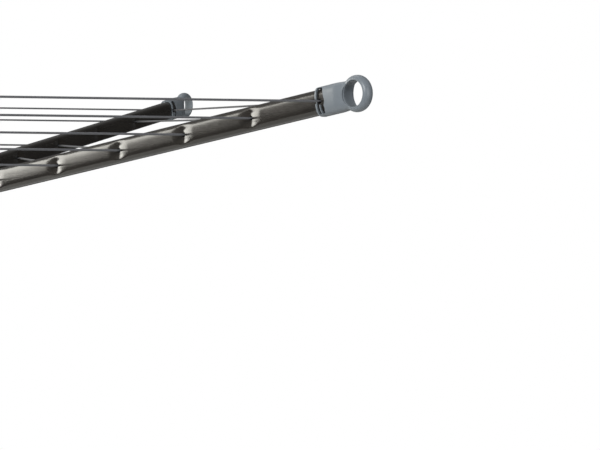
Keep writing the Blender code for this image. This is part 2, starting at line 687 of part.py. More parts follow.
def make_drying_line(hub):
    """The coated line as one length, and the crimped stops on its two ends, inside arms 4 and 3."""
    curve = bpy.data.curves.new("drying_line", "CURVE")
    curve.dimensions = "3D"
    curve.bevel_depth = LINE_RADIUS
    curve.bevel_resolution = 1
    curve.use_fill_caps = True
    points = rounded_path(line_corners(), LINE_BEND)
    spline = curve.splines.new("POLY")
    spline.points.add(len(points) - 1)
    for target, point in zip(spline.points, points):
        target.co = (*point, 1)
    line = bpy.data.objects.new("drying_line", curve)
    line.data.materials.append(MATERIALS["line_coating"])
    bpy.context.scene.collection.objects.link(line)
    line.parent = hub
    stops = (("line_stop_inner", STRING_ORDER[0], hole_distances()[0], 1), ("line_stop_outer", STRING_ORDER[-1], OUTER_HOLE, -1))
    for name, number, distance, side in stops:
        ends = sorted((side * 0.0006, side * 0.0046))
        stop = turned(name, ring_profile(LINE_RADIUS + GAP, 0.0030, *ends), 14, "Y")
        stop.transform(arm_frame(number) @ Matrix.Translation((distance, 0, 0)))
        add_object(name, stop, "bright_steel", hub)


# ---------------------------------------------------------------- assembly
def main():
    for old in list(bpy.data.objects):
        bpy.data.objects.remove(old)
    make_materials()
    make_ceiling_bracket()
    make_pulley()
    make_spacers()
    make_return_spring()
    make_socket()
    make_mast_tubes()
    make_clamp(1, OUTER_TUBE, MID_TUBE, OUTER_BOTTOM)
    make_clamp(2, MID_TUBE, INNER_TUBE, MID_BOTTOM)
    make_hoist_cord()
    hub = add_empty("hub_place", (0, 0, HUB_Z))
    make_hub(hub)
    make_mast_foot()
    make_arms(hub)
    make_drying_line(hub)


main()
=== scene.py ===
"""The looks of the ceiling mounted pulley rack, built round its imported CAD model. Metres, +Z up."""

import json
import math

import bmesh
import bpy
import numpy as np
from mathutils import Matrix, Vector

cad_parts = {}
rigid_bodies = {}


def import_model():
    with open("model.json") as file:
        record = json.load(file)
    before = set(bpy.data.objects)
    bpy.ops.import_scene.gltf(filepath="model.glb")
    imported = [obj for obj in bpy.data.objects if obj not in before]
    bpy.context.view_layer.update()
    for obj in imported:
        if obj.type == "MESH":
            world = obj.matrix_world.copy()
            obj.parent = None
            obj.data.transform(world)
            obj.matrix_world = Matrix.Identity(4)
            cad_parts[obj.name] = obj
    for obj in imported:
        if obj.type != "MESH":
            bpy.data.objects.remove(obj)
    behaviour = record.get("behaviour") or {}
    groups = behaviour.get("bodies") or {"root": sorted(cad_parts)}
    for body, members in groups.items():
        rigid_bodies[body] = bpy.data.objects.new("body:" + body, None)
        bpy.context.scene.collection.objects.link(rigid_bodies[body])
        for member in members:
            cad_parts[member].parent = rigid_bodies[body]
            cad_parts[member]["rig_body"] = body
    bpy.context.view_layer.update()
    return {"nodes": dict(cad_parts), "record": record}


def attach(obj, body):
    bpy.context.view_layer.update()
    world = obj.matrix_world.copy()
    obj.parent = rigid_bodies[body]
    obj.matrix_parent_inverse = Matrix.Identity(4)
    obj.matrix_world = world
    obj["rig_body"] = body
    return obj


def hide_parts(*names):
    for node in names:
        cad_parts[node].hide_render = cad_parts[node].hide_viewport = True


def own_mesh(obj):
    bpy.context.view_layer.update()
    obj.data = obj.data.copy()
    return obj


# ---------------------------------------------------------------- the CAD model's dimensions
GAP = 0.0003
HUB_Z = -1.200

ARM_NUMBERS = range(1, 5)
ARM_BEARINGS = [math.radians(degrees) for degrees in (-54, 54, 126, 234)]
ARM_RISE = math.radians(9.7)
ARM_HALF_Y, ARM_HALF_Z = 0.0078, 0.0122
ARM_SQUARENESS = 3.0
ARM_WALL = 0.0012
ARM_START, ARM_END = 0.050, 1.024
ARM_PIN = 0.088
ARM_PIN_HOLE = 0.0028
HOLES = [0.200 + 0.100 * step for step in range(9)]
OUTER_HOLE = HOLES[-1]
HOLE_RADIUS = 0.0024

LINE_RADIUS = 0.00115
LINE_BEND = 0.004
LINE_SIDE = ARM_HALF_Y + 0.0005
STRING_ORDER = (4, 1, 2, 3)

RING_CENTRE = 1.044
RING_RADIUS = 0.0178
RING_WALL = 0.0050
RING_HOLE_RADIUS = RING_RADIUS - RING_WALL
RING_HALF_DEPTH = 0.0062
SLEEVE_SIDE_WALL = 0.0020
SLEEVE_TOP_WALL = 0.0023
SLEEVE_START = 0.9954

OUTER_TUBE, MID_TUBE, INNER_TUBE, TUBE_WALL = 0.0200, 0.0165, 0.0130, 0.0015
TUBES = {
    "mast_outer_tube": (OUTER_TUBE, -0.524, -0.104),
    "mast_middle_tube": (MID_TUBE, -0.864, -0.444),
    "mast_inner_tube": (INNER_TUBE, -1.235, -0.784),
}
COLLAR_WALL = 0.0062
COLLAR_BELOW, COLLAR_ABOVE = 0.010, 0.030
EAR_STARTS, EAR_WIDTH = (0.0073, -0.0108), 0.0035
LEVER_PIN_OUT, LEVER_PIN_DOWN, LEVER_PIN_HOLE = 0.0062, 0.012, 0.0023

# From here on, heights are from the arms' common centre.
HUB_RADIUS, HUB_LOW, HUB_HIGH = 0.046, -0.030, 0.030
BUSH_RADIUS = 0.0165
SOCKET_START, SOCKET_END, SOCKET_WALL = 0.034, 0.106, 0.0042
SEAT = HUB_LOW - 0.0036
FOOT_LOW = SEAT - 0.015

# ---------------------------------------------------------------- materials
NOISE_ROUGHNESS = 0.55
PATCH_SCALE = 14
GLOSS_TO_GRAIN = 0.12
COAT_ROUGHNESS = 0.12
SCRATCH_SCALE = 900
WEAVE_SCALE = 420

SPECKLED = {
    "black_tube": dict(
        dark=(0.020, 0.017, 0.014), light=(0.026, 0.022, 0.018), roughness=(0.20, 0.25),
        grain_scale=900, grain_depth=0.0000015, metallic=0.2, coat=0.25,
    ),
    "grey_plastic": dict(
        dark=(0.165, 0.187, 0.208), light=(0.185, 0.208, 0.230), roughness=(0.36, 0.44),
        grain_scale=1200, grain_depth=0.000006,
    ),
    "dark_plastic": dict(
        dark=(0.018, 0.019, 0.021), light=(0.030, 0.031, 0.034), roughness=(0.40, 0.52),
        grain_scale=1500, grain_depth=0.00006,
    ),
    "line_coating": dict(
        dark=(0.082, 0.083, 0.090), light=(0.100, 0.101, 0.108), roughness=(0.30, 0.38),
        grain_scale=900, grain_depth=0.000004,
    ),
    "painted_steel": dict(
        dark=(0.055, 0.052, 0.050), light=(0.068, 0.065, 0.062), roughness=(0.38, 0.50),
        grain_scale=2200, grain_depth=0.00005, metallic=0.3,
    ),
}


def new_material(name, colour, roughness, metallic=0.0, specular=0.5):
    made = bpy.data.materials.new(name)
    made.use_nodes = True
    shader = made.node_tree.nodes["Principled BSDF"]
    shader.inputs["Base Color"].default_value = (*colour, 1)
    shader.inputs["Roughness"].default_value = roughness
    shader.inputs["Metallic"].default_value = metallic
    shader.inputs["Specular IOR Level"].default_value = specular
    return made, made.node_tree, shader


def link(tree, start, end):
    tree.links.new(start, end)


def noise(tree, scale, detail, stretch=(1, 1, 1)):
    """Noise in the object's own coordinates, as a factor output."""
    place = tree.nodes.new("ShaderNodeTexCoord")
    mapping = tree.nodes.new("ShaderNodeMapping")
    mapping.inputs["Scale"].default_value = stretch
    made = tree.nodes.new("ShaderNodeTexNoise")
    made.inputs["Scale"].default_value = scale
    made.inputs["Detail"].default_value = detail
    made.inputs["Roughness"].default_value = NOISE_ROUGHNESS
    link(tree, place.outputs["Object"], mapping.inputs["Vector"])
    link(tree, mapping.outputs["Vector"], made.inputs["Vector"])
    return made.outputs["Fac"]


def mapped(tree, factor, low, high, start=0.3, end=0.7):
    """The factor from start to end, spread from low to high. Noise mostly stays in the default range."""
    made = tree.nodes.new("ShaderNodeMapRange")
    made.inputs["From Min"].default_value = start
    made.inputs["From Max"].default_value = end
    made.inputs["To Min"].default_value = low
    made.inputs["To Max"].default_value = high
    link(tree, factor, made.inputs["Value"])
    return made.outputs["Result"]


def blend_colours(tree, factor, first, second):
    made = tree.nodes.new("ShaderNodeMix")
    made.data_type = "RGBA"
    made.inputs["A"].default_value = (*first, 1)
    made.inputs["B"].default_value = (*second, 1)
    link(tree, factor, made.inputs["Factor"])
    return made.outputs["Result"]


def bump(tree, shader, height, strength, distance):
    made = tree.nodes.new("ShaderNodeBump")
    made.inputs["Strength"].default_value = strength
    made.inputs["Distance"].default_value = distance
    link(tree, height, made.inputs["Height"])
    link(tree, made.outputs["Normal"], shader.inputs["Normal"])


def speckled(name, dark, light, roughness, grain_scale, grain_depth, metallic=0.0, coat=0.0):
    """A finish with slow patches of tone, a fine grain in the surface and uneven gloss."""
    made, tree, shader = new_material(name, dark, roughness[0], metallic)
    patches = mapped(tree, noise(tree, PATCH_SCALE, 4), 0, 1)
    gloss = noise(tree, grain_scale * GLOSS_TO_GRAIN, 3)
    link(tree, blend_colours(tree, patches, dark, light), shader.inputs["Base Color"])
    link(tree, mapped(tree, gloss, *roughness), shader.inputs["Roughness"])
    bump(tree, shader, noise(tree, grain_scale, 2), 0.35, grain_depth)
    shader.inputs["Coat Weight"].default_value = coat
    shader.inputs["Coat Roughness"].default_value = COAT_ROUGHNESS
    return made


def brushed(name, colour, roughness, stretch):
    """Bare or plated metal with fine scratches along one way."""
    made, tree, shader = new_material(name, colour, roughness, 1.0)
    scratches = noise(tree, SCRATCH_SCALE, 2, stretch)
    pale = tuple(min(1.0, channel * 1.15) for channel in colour)
    link(tree, blend_colours(tree, scratches, colour, pale), shader.inputs["Base Color"])
    link(tree, mapped(tree, scratches, roughness * 0.8, roughness * 1.4), shader.inputs["Roughness"])
    bump(tree, shader, scratches, 0.2, 0.00004)
    return made


def braided(name, dark, light):
    """A braided cord: slanting strands of two tones."""
    made, tree, shader = new_material(name, light, 0.8, 0.0, 0.3)
    place = tree.nodes.new("ShaderNodeTexCoord")
    weave = tree.nodes.new("ShaderNodeTexWave")
    weave.wave_type = "BANDS"
    weave.bands_direction = "DIAGONAL"
    weave.inputs["Scale"].default_value = WEAVE_SCALE
    weave.inputs["Distortion"].default_value = 0.6
    link(tree, place.outputs["Object"], weave.inputs["Vector"])
    link(tree, blend_colours(tree, weave.outputs["Fac"], dark, light), shader.inputs["Base Color"])
    bump(tree, shader, weave.outputs["Fac"], 0.6, 0.0002)
    return made


def make_materials():
    """One material for each material slot of the CAD model."""
    made = {slot: speckled(slot, **finish) for slot, finish in SPECKLED.items()}
    made["bright_steel"] = brushed("bright_steel", (0.60, 0.61, 0.62), 0.26, (1, 0.05, 0.05))
    made["cord"] = braided("cord", (0.34, 0.34, 0.32), (0.62, 0.62, 0.59))
    return made


MATERIALS = {}
SLOTS = {}

# ---------------------------------------------------------------- modelling helpers
SMOOTH_UP_TO = 32  # degrees between faces, above which an edge looks sharp
CUT_REACH = 0.02  # half the length of a cutter, past both sides of what it cuts
CORNER_SHARE = 0.45  # of the shorter side at a corner, which its rounding may take up
WELD = 1e-6
TURN_TO = {
    "Z": Matrix.Identity(4),
    "X": Matrix.Rotation(math.radians(90), 4, "Y"),
    "Y": Matrix.Rotation(math.radians(-90), 4, "X"),
}


def mesh_of(build, name):
    bm = bmesh.new()
    build(bm)
    bmesh.ops.recalc_face_normals(bm, faces=bm.faces[:])
    mesh = bpy.data.meshes.new(name)
    bm.to_mesh(mesh)
    bm.free()
    return mesh


def add_object(name, mesh, slot=None, sharp=SMOOTH_UP_TO):
    mesh.shade_smooth()
    mesh.set_sharp_from_angle(angle=math.radians(sharp))
    if slot:
        mesh.materials.clear()
        mesh.materials.append(MATERIALS[slot])
    made = bpy.data.objects.new(name, mesh)
    bpy.context.scene.collection.objects.link(made)
    return made


def piece(name, mesh, slot, body, replaced=(), matrix=None, sharp=SMOOTH_UP_TO):
    """A finished piece of the object: it rides on a body and stands for the CAD nodes named.

    Its place is put into the mesh itself, so that its bounds are as tight as its shape."""
    if matrix is not None:
        mesh = mesh.copy()
        mesh.transform(matrix)
    made = add_object(name, mesh, slot, sharp)
    bpy.context.view_layer.update()
    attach(made, body)
    if replaced:
        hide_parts(*replaced)
    return made


def turned(name, profile, steps=64, axis="Z", closed=True):
    """A (radius, height) profile spun round an axis. An open profile has both its ends on the axis."""

    def build(bm):
        points = [bm.verts.new((radius, 0, along)) for radius, along in profile]
        pairs = list(zip(points, points[1:]))
        if closed:
            pairs.append((points[-1], points[0]))
        edges = [bm.edges.new(pair) for pair in pairs]
        bmesh.ops.spin(bm, geom=points + edges, cent=(0, 0, 0), axis=(0, 0, 1), angle=math.tau, steps=steps)
        bmesh.ops.remove_doubles(bm, verts=bm.verts[:], dist=WELD)
        bmesh.ops.transform(bm, matrix=TURN_TO[axis], verts=bm.verts[:])

    return mesh_of(build, name)


def rod(radius, half_length, steps, axis="Z"):
    """A plain round bar with its middle at the origin: the form that round holes are cut with."""
    profile = [(0, -half_length), (radius, -half_length), (radius, half_length), (0, half_length)]
    return turned("rod", profile, steps, axis, closed=False)


def oval(half_y, half_z, count=72, squareness=ARM_SQUARENESS):
    """A superellipse: an ellipse at squareness 2, and fuller in the corners above it."""
    points = []
    for step in range(count):
        angle = math.tau * step / count
        cosine, sine = math.cos(angle), math.sin(angle)
        points.append((
            half_y * math.copysign(abs(cosine) ** (2 / squareness), cosine),
            half_z * math.copysign(abs(sine) ** (2 / squareness), sine),
        ))
    return points


def lofted(name, sections, ring=False):
    """A skin over sections of equally many points. ring joins the last section back to the first."""

    def build(bm):
        rows = [[bm.verts.new(point) for point in section] for section in sections]
        pairs = list(zip(rows, rows[1:]))
        if ring:
            pairs.append((rows[-1], rows[0]))
        for here, there in pairs:
            for index in range(len(here)):
                after = (index + 1) % len(here)
                bm.faces.new((here[index], here[after], there[after], there[index]))
        if not ring:
            bm.faces.new(rows[0])
            bm.faces.new(rows[-1])

    return mesh_of(build, name)


def extruded(name, outline, start, depth):
    """A (y, z) outline pushed out along X."""
    return lofted(name, [[(x, y, z) for y, z in outline] for x in (start, start + depth)])


def rounded_ends(start, end, edge, steps=4):
    """Places along a bar and how far its side is drawn in there, for end edges of radius edge."""
    angles = [math.radians(90) * step / steps for step in range(steps + 1)]
    arc = [(edge * (1 - math.cos(angle)), edge * (1 - math.sin(angle))) for angle in angles]
    near_end = [(start + along, inset) for along, inset in arc]
    far_end = [(end - along, inset) for along, inset in reversed(arc)]
    return near_end + far_end


def oval_bar(name, half_y, half_z, start, end, edge=0.0):
    """A bar of the arm's oval shape along X, its end edges rounded by edge."""
    stations = rounded_ends(start, end, edge) if edge else [(start, 0.0), (end, 0.0)]
    sections = [[(x, y, z) for y, z in oval(half_y - inset, half_z - inset)] for x, inset in stations]
    return lofted(name, sections)


def rounded_corner(before, corner, after, radius, steps):
    """The points of a soft curve that takes the place of a corner."""
    back, forward = before - corner, after - corner
    reach = min(radius, back.length * CORNER_SHARE, forward.length * CORNER_SHARE)
    start = corner + back.normalized() * reach
    end = corner + forward.normalized() * reach
    shares = [step / steps for step in range(steps + 1)]
    return [start.lerp(corner, share).lerp(corner.lerp(end, share), share) for share in shares]


def rounded_outline(corners, radius, steps=4):
    """A closed 2-D outline with each corner rounded."""
    corners = [Vector(corner) for corner in corners]
    points = []
    for before, corner, after in zip(corners[-1:] + corners[:-1], corners, corners[1:] + corners[:1]):
        points += rounded_corner(before, corner, after, radius, steps)
    return [tuple(point) for point in points]


def rounded_path(corners, radius, steps):
    """An open path with every corner rounded between its two ends."""
    points = [corners[0]]
    for before, corner, after in zip(corners, corners[1:], corners[2:]):
        points += rounded_corner(before, corner, after, radius, steps)
    points.append(corners[-1])
    return points


def turned_soft(name, profile, radius, closed=False, steps=96):
    """A turned piece whose corners are rounded over, apart from those on its axis."""
    if closed:
        return turned(name, rounded_outline(profile, radius), steps)
    points = rounded_path([Vector(point) for point in profile], radius, 4)
    return turned(name, [tuple(point) for point in points], steps, closed=False)


def ring_outline(inner, outer, low, high):
    return [(inner, low), (outer, low), (outer, high), (inner, high)]


def settle(target):
    """Applies the target's modifiers to its mesh."""
    bpy.context.view_layer.update()
    graph = bpy.context.evaluated_depsgraph_get()
    mesh = bpy.data.meshes.new_from_object(target.evaluated_get(graph))
    target.modifiers.clear()
    target.data = mesh


def combine(target, mesh, operation):
    """Joins or cuts a mesh into the target at once."""
    other = bpy.data.objects.new("other", mesh)
    bpy.context.scene.collection.objects.link(other)
    modifier = target.modifiers.new("shape", "BOOLEAN")
    modifier.operation = operation
    modifier.object = other
    modifier.solver = "EXACT"
    settle(target)
    bpy.data.objects.remove(other)


def melted(meshes, voxel, passes):
    """Several closed meshes grown into one moulded form, with soft inside corners."""
    target = add_object("melted", meshes[0])
    for mesh in meshes[1:]:
        combine(target, mesh, "UNION")
    remesh = target.modifiers.new("remesh", "REMESH")
    remesh.mode = "VOXEL"
    remesh.voxel_size = voxel
    smooth = target.modifiers.new("smooth", "SMOOTH")
    smooth.factor = 0.5
    smooth.iterations = passes
    settle(target)
    return target


def taken(target):
    """The target's mesh, without the target."""
    mesh = target.data
    bpy.data.objects.remove(target)
    return mesh


def moved(mesh, *offset):
    mesh.transform(Matrix.Translation(offset))
    return mesh


def joined(name, meshes):
    bm = bmesh.new()
    for mesh in meshes:
        bm.from_mesh(mesh)
    made = bpy.data.meshes.new(name)
    bm.to_mesh(made)
    bm.free()
    return made


def eased(share):
    """A share held between 0 and 1, with a soft start and a soft end."""
    share = min(1.0, max(0.0, share))
    return share * share * (3 - 2 * share)


def arm_matrix(number):
    """From an arm's own frame, X along the arm, to the row frame."""
    turn = Matrix.Rotation(ARM_BEARINGS[number - 1], 4, "Z") @ Matrix.Rotation(-ARM_RISE, 4, "Y")
    return Matrix.Translation((0, 0, HUB_Z)) @ turn


# ---------------------------------------------------------------- arms
ARM_SIDES = 76  # points round the tube's section
DIMPLE_LENGTH, DIMPLE_HEIGHT = 0.0165, 0.0108  # half sizes
DIMPLE_DEPTH = 0.0022
DIMPLE_FADE = 1.6  # how soon the dimple reaches its full depth, away from its top and bottom
CREASE_WIDTH = 0.10  # of the dimple's half length, over which the bottom of the crease is round
TUBE_TOP = 0.002  # the half width of the tube's top and bottom, which aren't pressed in
STATIONS_PER_HOLE = 27


def dimple(x, z):
    """How far the tube's side is pressed in at a point: a crease across the side, deepest at the hole."""
    nearest = min(HOLES[:-1], key=lambda hole: abs(hole - x))  # the outermost hole is inside the moulded end
    along = abs(nearest - x) / DIMPLE_LENGTH
    across = abs(z) / DIMPLE_HEIGHT
    if along >= 1 or across >= 1:
        return 0.0
    crease = (1 - math.hypot(along, CREASE_WIDTH)) / (1 - CREASE_WIDTH)
    return DIMPLE_DEPTH * max(0.0, crease) ** 2 * eased((1 - across) * DIMPLE_FADE)


def arm_stations():
    """Places along the tube, close together at the middle of each dimple."""
    reach = DIMPLE_LENGTH + 0.0005
    stations = [ARM_START]
    for hole in HOLES:
        steps = np.linspace(-1, 1, STATIONS_PER_HOLE)
        stations += [hole + reach * math.copysign(abs(step) ** 1.5, step) for step in steps]
    return [x for x in stations if x < ARM_END - 0.001] + [ARM_END]


def pressed_section(x, half_y, half_z):
    """The tube's section at a place along it, its sides pressed in by the dimple there."""
    section = []
    for y, z in oval(half_y, half_z, ARM_SIDES):
        depth = dimple(x, z) if abs(y) > TUBE_TOP else 0.0
        section.append((x, y - math.copysign(depth, y), z))
    return section


def arm_mesh():
    """The oval tube with a pressed dimple round each line hole."""
    stations = arm_stations()
    outer = [pressed_section(x, ARM_HALF_Y, ARM_HALF_Z) for x in stations]
    inner = [pressed_section(x, ARM_HALF_Y - ARM_WALL, ARM_HALF_Z - ARM_WALL) for x in stations]
    target = add_object("arm_blank", lofted("arm", outer + inner[::-1], ring=True))
    holes = [moved(rod(HOLE_RADIUS, CUT_REACH, 36, "Y"), x, 0, 0) for x in HOLES]
    holes.append(moved(rod(ARM_PIN_HOLE, CUT_REACH, 28, "Y"), ARM_PIN, 0, 0))
    combine(target, joined("holes", holes), "DIFFERENCE")
    return taken(target)


# ---------------------------------------------------------------- ring ends
END_VOXEL = 0.0004
RIM_FULLNESS = 0.8  # below 1, the ring's outside is fuller than a half round
RIM_OVERLAP = 0.0006  # how far the rim starts inside the hole, which is cut after it
HOLE_EDGE = 0.0005  # the chamfer at each edge of the ring's hole
TAPER_START, TAPER_LENGTH = RING_CENTRE - 0.0240, 0.0140
TAPER_SIDE, TAPER_TOP = 0.0022, 0.0006

# The window's outline, as distances along and up from the outermost hole.
WINDOW_NEAR, WINDOW_REACH = -0.0028, 0.0128
RIB_NEAR, RIB_FAR, RIB_TOP = 0.0006, 0.0017, -0.0036
WINDOW = [
    (WINDOW_NEAR, WINDOW_REACH), (WINDOW_NEAR, -WINDOW_REACH),
    (RIB_NEAR, -WINDOW_REACH), (RIB_NEAR, RIB_TOP), (RIB_FAR, RIB_TOP), (RIB_FAR, -WINDOW_REACH),
    (0.0050, -WINDOW_REACH), (0.0072, -0.0085), (0.0064, -0.0050), (0.0072, -0.0032),
    (0.0082, -0.0010), (0.0076, 0.0020), (0.0068, 0.0050), (0.0062, 0.0095), (0.0040, WINDOW_REACH),
]


def ring_profile():
    """Half-round outside, from the hole's front edge to its back edge, closed on the ring's axis."""
    steps = 16
    points = [(0, -RING_HALF_DEPTH)]
    for step in range(steps + 1):
        angle = math.radians(180) * step / steps
        across = math.sin(angle) ** RIM_FULLNESS if 0 < step < steps else 0.0
        radius = RING_HOLE_RADIUS - RIM_OVERLAP + (RING_WALL + RIM_OVERLAP) * across
        points.append((radius, -RING_HALF_DEPTH * math.cos(angle)))
    points.append((0, RING_HALF_DEPTH))
    return points


def sleeve_mesh():
    """The oval sleeve, a little long at its open end, and narrower where it runs into the ring."""
    half_y, half_z = ARM_HALF_Y + SLEEVE_SIDE_WALL, ARM_HALF_Z + SLEEVE_TOP_WALL
    sections = []
    for x in np.linspace(SLEEVE_START - 0.004, RING_CENTRE - 0.0075, 24):
        taper = eased((x - TAPER_START) / TAPER_LENGTH)
        outline = oval(half_y - TAPER_SIDE * taper, half_z - TAPER_TOP * taper, 80)
        sections.append([(x, y, z) for y, z in outline])
    return lofted("sleeve", sections)


def ring_hole():
    """The cutter for the ring's hole, wider past each face, which chamfers the hole's edges."""
    reach = 0.012
    wide, face = RING_HOLE_RADIUS + HOLE_EDGE, RING_HALF_DEPTH + 0.0001
    profile = [
        (0, -reach), (wide, -reach), (wide, -face), (RING_HOLE_RADIUS, -RING_HALF_DEPTH + HOLE_EDGE),
        (RING_HOLE_RADIUS, RING_HALF_DEPTH - HOLE_EDGE), (wide, face), (wide, reach), (0, reach),
    ]
    return moved(turned("hole", profile, 112, "Y", False), RING_CENTRE, 0, 0)


def line_slots():
    """The cutters for a slot in each side of the flange, where the outermost line runs in."""
    slots = []
    for side in (-1, 1):
        near, far = side * (ARM_HALF_Y + 0.00075), side * (ARM_HALF_Y + 0.006)
        outline = [(near, -0.0021), (far, -0.0027), (far, 0.0027), (near, 0.0021)]
        slots.append(extruded("slot", outline, OUTER_HOLE - 0.007, 0.0054))
    return joined("slots", slots)


def ring_end_mesh():
    """The moulded end: an oval sleeve, narrower towards the upright ring that it runs into, with a window
    in each side that leaves the outermost hole open."""
    disc = moved(turned("disc", ring_profile(), 112, "Y", False), RING_CENTRE, 0, 0)
    bore = oval_bar("bore", ARM_HALF_Y + GAP, ARM_HALF_Z + GAP, SLEEVE_START - 0.01, ARM_END + GAP)
    square_end = extruded("square_end", oval(0.03, 0.03, 24, 2.0), SLEEVE_START - CUT_REACH, CUT_REACH)
    outline = [(OUTER_HOLE + x, z) for x, z in rounded_outline(WINDOW, 0.0011)]
    window = lofted("window", [[(x, y, z) for x, z in outline] for y in (-CUT_REACH, CUT_REACH)])
    target = melted([sleeve_mesh(), disc], END_VOXEL, 7)
    for cutter in (ring_hole(), bore, square_end, window, line_slots()):
        combine(target, cutter, "DIFFERENCE")
    return taken(target)


def make_arms():
    arm, ring_end = arm_mesh(), ring_end_mesh()
    for number in ARM_NUMBERS:
        place = arm_matrix(number)
        piece(f"arm_tube_{number}", arm, "black_tube", "rack", [f"arm_{number}"], place)
        piece(f"ring_moulding_{number}", ring_end, "grey_plastic", "rack", [f"ring_end_{number}"], place)


# ---------------------------------------------------------------- drying line
def line_corners():
    """The line's route: through both walls of each arm in turn, one hole further out on every round.
    Its two ends are inside an arm."""
    corners = []
    for distance in HOLES:
        for number in STRING_ORDER:
            for side in (-1, 1):
                corners.append(arm_matrix(number) @ Vector((distance, side * LINE_SIDE, 0)))
    corners[0] = arm_matrix(STRING_ORDER[0]) @ Vector((HOLES[0], 0, 0))
    corners[-1] = arm_matrix(STRING_ORDER[-1]) @ Vector((OUTER_HOLE, 0, 0))
    return corners


def make_drying_line():
    curve = bpy.data.curves.new("coated_line", "CURVE")
    curve.dimensions = "3D"
    curve.bevel_depth = LINE_RADIUS
    curve.bevel_resolution = 3
    curve.use_fill_caps = True
    points = rounded_path(line_corners(), LINE_BEND, 6)
    spline = curve.splines.new("POLY")
    spline.points.add(len(points) - 1)
    for target, point in zip(spline.points, points):
        target.co = (*point, 1)
    spline.use_smooth = True
    curve.materials.append(MATERIALS["line_coating"])
    line = bpy.data.objects.new("coated_line", curve)
    bpy.context.scene.collection.objects.link(line)
    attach(line, "rack")
    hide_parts("drying_line")


# ---------------------------------------------------------------- CAD nodes and their finer forms
SOFT_NODES = {  # each node's edge rounding
    "ceiling_bracket": 0.0006, "mast_socket": 0.0008, "pulley_wheel": 0.0004, "pulley_shaft": 0.0003,
    "spacer_left": 0.0004, "spacer_right": 0.0004, "spring_case": 0.0007, "spring_cover": 0.0005,
    "flip_lever_1": 0.0006, "flip_lever_2": 0.0006, "lever_pin_1": 0.0003, "lever_pin_2": 0.0003,
    "socket_bolt_1": 0.0003, "socket_bolt_2": 0.0003, "socket_nut_1": 0.0003, "socket_nut_2": 0.0003,
    "arm_pin_1": 0.0003, "arm_pin_2": 0.0003, "arm_pin_3": 0.0003, "arm_pin_4": 0.0003,
}
SOFT_NODES_SMOOTH_UP_TO = 50
BEVEL_ABOVE = 38  # degrees between faces, above which an edge is rounded


def stand_in(frame, name, mesh, sharp=SMOOTH_UP_TO):
    """A finer form of a CAD node, on the same body and with the same finish."""
    node = frame["nodes"][name]
    return piece(f"{name}_shown", mesh, SLOTS[name], node["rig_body"], [name], sharp=sharp)


def softened(node, width):
    """The node's own shape with its edges rounded over."""
    bm = bmesh.new()
    bm.from_mesh(node.data)
    bmesh.ops.remove_doubles(bm, verts=bm.verts[:], dist=WELD)
    mesh = bpy.data.meshes.new("softened")
    bm.to_mesh(mesh)
    bm.free()
    target = add_object("softened", mesh)
    bevel = target.modifiers.new("edges", "BEVEL")
    bevel.width = width
    bevel.segments = 2
    bevel.limit_method = "ANGLE"
    bevel.angle_limit = math.radians(BEVEL_ABOVE)
    settle(target)
    return taken(target)


def soften_nodes(frame):
    """The plain CAD nodes again, with soft edges that leave their flat faces flat in the light."""
    for name, width in SOFT_NODES.items():
        made = stand_in(frame, name, softened(frame["nodes"][name], width), sharp=SOFT_NODES_SMOOTH_UP_TO)
        normals = made.modifiers.new("normals", "WEIGHTED_NORMAL")
        normals.weight = 100
        normals.keep_sharp = True


def finish_cad_nodes(frame):
    """Each CAD node that stays gets the finish of its own material slot."""
    SLOTS.update({entry["node"]: entry["material_slot"] for entry in frame["record"]["subparts"]})
    for name, node in frame["nodes"].items():
        for slot in node.material_slots:
            slot.material = MATERIALS[SLOTS[name]]


def make_hoist_cord(frame):
    """The cord inside the mast, shown on a mesh of its own. The real cord gets shorter as the mast closes
    up, because the rest winds on the pulley; this script doesn't shorten it.
    """
    cord = stand_in(frame, "hoist_cord", frame["nodes"]["hoist_cord"].data.copy())
    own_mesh(cord)


# ---------------------------------------------------------------- mast and hub
def make_collar(frame, name, upper, lower, tube_bottom):
    """A clamp collar whose ears for the lever's pin grow out of it in soft corners.

    It holds the end of the upper tube, and the lower tube slides in its neck."""
    low, high, outside = tube_bottom - COLLAR_BELOW, tube_bottom + COLLAR_ABOVE, upper + COLLAR_WALL
    body = [
        (0, low), (outside - 0.002, low), (outside, low + 0.002),
        (outside, high - 0.004), (outside - 0.003, high), (0, high),
    ]
    pin_y, pin_z = outside + LEVER_PIN_OUT, high - LEVER_PIN_DOWN
    ear = [
        (outside - 0.004, pin_z - 0.009), (pin_y + 0.002, pin_z - 0.005), (pin_y + 0.0050, pin_z),
        (pin_y + 0.002, pin_z + 0.005), (outside - 0.004, pin_z + 0.009),
    ]
    ears = [extruded("ear", ear, start, EAR_WIDTH) for start in EAR_STARTS]
    target = melted([turned("collar", body, 96, closed=False), *ears], 0.0005, 5)
    neck, mouth, step = lower + GAP, upper + GAP, tube_bottom - GAP
    bores = [
        (0, low - CUT_REACH), (neck, low - CUT_REACH), (neck, step),
        (mouth, step), (mouth, high + CUT_REACH), (0, high + CUT_REACH),
    ]
    combine(target, turned("bores", bores, 96, closed=False), "DIFFERENCE")
    combine(target, moved(rod(LEVER_PIN_HOLE, CUT_REACH, 24, "X"), 0, pin_y, pin_z), "DIFFERENCE")
    stand_in(frame, name, taken(target))


def make_foot(frame):
    """The plug in the mast's lower end, with the flange that the hub rests on."""
    plug, rim = INNER_TUBE - TUBE_WALL - GAP, INNER_TUBE + GAP
    tube_end = TUBES["mast_inner_tube"][1] - HUB_Z - GAP
    flange, stem_hole = 0.0225, 0.0043
    profile = [
        (0, -0.015), (plug, -0.015), (plug, tube_end), (rim, tube_end), (rim, SEAT), (flange, SEAT),
        (flange, SEAT - 0.010), (0.0190, FOOT_LOW), (stem_hole, FOOT_LOW), (stem_hole, SEAT - 0.004),
        (0, SEAT - 0.004),
    ]
    stand_in(frame, "mast_foot", moved(turned_soft("foot", profile, 0.0008), 0, 0, HUB_Z))


